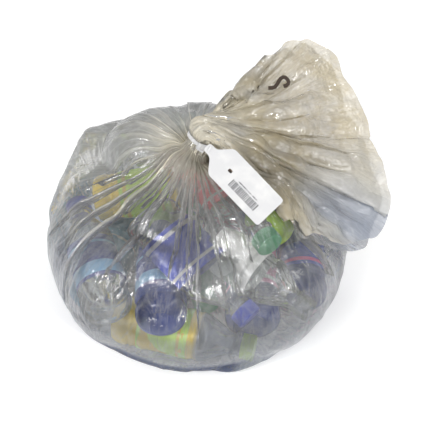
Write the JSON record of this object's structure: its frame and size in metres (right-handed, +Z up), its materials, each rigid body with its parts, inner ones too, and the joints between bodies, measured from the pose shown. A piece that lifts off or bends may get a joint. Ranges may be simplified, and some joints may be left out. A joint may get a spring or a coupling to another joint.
{
  "type": "tied clear sack of empty plastic bottles",
  "caption": "Clear polythene refuse sack, gathered and closed at the neck with a white loop tag, its loose top flared to one side, filled with empty plastic drinks bottles.",
  "frame": {"origin": "on the ground under the middle of the filled body, at the resting face", "axes": "+Z up from the ground; +X towards the side that the loose top flops over to; -Y towards the side with the tag"},
  "size_m": [0.3928, 0.3332, 0.2432],
  "materials": {
    "film": "clear polythene with a milky haze",
    "tag": "white moulded plastic, satin",
    "scrap": "dark brown, dull",
    "bottle_lemon": "see-through blown plastic",
    "label_lime": "plain printed sleeve, satin",
    "cap_lime": "moulded screw cap",
    "bottle_navy": "see-through blown plastic",
    "label_pink": "plain printed sleeve, satin",
    "cap_white": "moulded screw cap",
    "label_blue": "plain printed sleeve, satin",
    "cap_teal": "moulded screw cap",
    "bottle_sky": "see-through blown plastic",
    "label_sky": "plain printed sleeve, satin",
    "bottle_green": "see-through blown plastic",
    "label_white": "plain printed sleeve, satin",
    "cap_green": "moulded screw cap",
    "bottle_clear": "see-through blown plastic",
    "label_teal": "plain printed sleeve, satin",
    "label_navy": "plain printed sleeve, satin",
    "cap_blue": "moulded screw cap",
    "bottle_lime": "see-through blown plastic",
    "cap_red": "moulded screw cap",
    "cap_cream": "moulded screw cap",
    "label_red": "plain printed sleeve, satin"
  },
  "bodies": {
    "root": {"bag_film": "film", "tie_tag": "tag", "brown_scrap": "scrap", "front_lemon_body": "bottle_lemon", "front_lemon_label": "label_lime", "front_lemon_cap": "cap_lime", "floor_navy_body": "bottle_navy", "floor_navy_label": "label_pink", "floor_navy_cap": "cap_white", "right_navy_body": "bottle_navy", "right_navy_label": "label_blue", "right_navy_cap": "cap_teal", "left_sky_body": "bottle_sky", "left_sky_label": "label_sky", "left_sky_cap": "cap_white", "floor_green_body": "bottle_green", "floor_green_label": "label_white", "floor_green_cap": "cap_green", "back_clear_body": "bottle_clear", "back_clear_label": "label_teal", "back_clear_cap": "cap_white", "left_clear_body": "bottle_clear", "left_clear_label": "label_navy", "left_clear_cap": "cap_blue", "front_navy_body": "bottle_navy", "front_navy_label": "label_navy", "front_navy_cap": "cap_lime", "front_open_body": "bottle_clear", "front_open_label": "label_white", "right_lime_body": "bottle_lime", "right_lime_label": "label_lime", "right_lime_cap": "cap_red", "left_lemon_body": "bottle_lemon", "left_lemon_label": "label_lime", "left_lemon_cap": "cap_lime", "back_cream_body": "bottle_clear", "back_cream_label": "label_teal", "back_cream_cap": "cap_cream", "middle_red_body": "bottle_clear", "middle_red_label": "label_red", "middle_red_cap": "cap_green", "middle_blue_body": "bottle_clear", "middle_blue_label": "label_blue", "middle_blue_cap": "cap_blue"}
  },
  "joints": []
}
